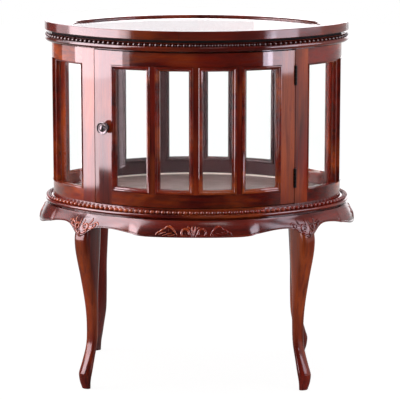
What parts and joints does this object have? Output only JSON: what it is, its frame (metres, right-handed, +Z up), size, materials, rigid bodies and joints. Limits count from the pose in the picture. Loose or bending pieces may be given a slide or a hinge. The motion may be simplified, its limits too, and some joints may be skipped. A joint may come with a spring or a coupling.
{
  "type": "display cabinet",
  "caption": "Small oval display cabinet on cabriole legs with glazed sides, a curved glazed door and a lift-off oval tray with a glass bottom.",
  "frame": {"origin": "on the floor under the middle of the cabinet", "axes": "+Z up, the door faces -Y, +X to the right seen from the front"},
  "size_m": [0.696, 0.486, 0.785],
  "materials": {
    "mahogany": "red-brown stained, gloss lacquer",
    "board": "plain board",
    "floor": "pale grey-taupe veneer",
    "pane": "clear, polished",
    "hinge": "black",
    "steel": "plain",
    "knob": "antiqued, rubbed bright on the rims",
    "catch": "moulded",
    "pad": "matt"
  },
  "bodies": {
    "cabinet": {"leg_front_left": "mahogany", "leg_front_right": "mahogany", "leg_rear_left": "mahogany", "leg_rear_right": "mahogany", "apron_front": "mahogany", "apron_rear": "mahogany", "apron_left": "mahogany", "apron_right": "mahogany", "base_moulding": "mahogany", "base_board": "board", "floor_panel": "floor", "leg_screws": "steel", "post_front_left": "mahogany", "post_front_right": "mahogany", "post_rear_left": "mahogany", "post_rear_right": "mahogany", "side_rail_top_left": "mahogany", "side_rail_top_right": "mahogany", "side_rail_bottom_left": "mahogany", "side_rail_bottom_right": "mahogany", "side_mullion_left_front": "mahogany", "side_mullion_left_rear": "mahogany", "side_mullion_right_front": "mahogany", "side_mullion_right_rear": "mahogany", "side_glass_left_front": "pane", "side_glass_left_middle": "pane", "side_glass_left_rear": "pane", "side_glass_right_front": "pane", "side_glass_right_middle": "pane", "side_glass_right_rear": "pane", "rear_rail_top": "mahogany", "rear_rail_bottom": "mahogany", "rear_mullions": "mahogany", "rear_glass_inner": "pane", "rear_glass_outer": "pane", "crown_moulding": "mahogany", "hinge_fixed_leaves": "hinge", "hinge_pins": "hinge", "hinge_screws_fixed": "steel", "catch_magnet": "catch"},
    "door": {"door_stile_left": "mahogany", "door_stile_right": "mahogany", "door_rail_top": "mahogany", "door_rail_bottom": "mahogany", "door_mullion_left": "mahogany", "door_mullion_centre": "mahogany", "door_mullion_right": "mahogany", "door_glass_1": "pane", "door_glass_2": "pane", "door_glass_3": "pane", "door_glass_4": "pane", "door_glazing_beads": "mahogany", "door_knob": "knob", "door_knob_screw": "steel", "hinge_door_leaves": "hinge", "hinge_screws_door": "steel", "catch_strike": "steel"},
    "tray": {"tray_frame": "mahogany", "tray_glass": "pane", "tray_pads": "pad"}
  },
  "joints": [
    {"name": "door_hinge", "type": "hinge", "parent": "cabinet", "child": "door", "pos_m": [0.2138, -0.1461, 0.572], "axis": [0, 0, 1], "range_deg": [0, 110]},
    {"name": "tray_lift", "type": "slide", "parent": "cabinet", "child": "tray", "axis": [0, 0, 1], "range_m": [0, 0.15]}
  ]
}
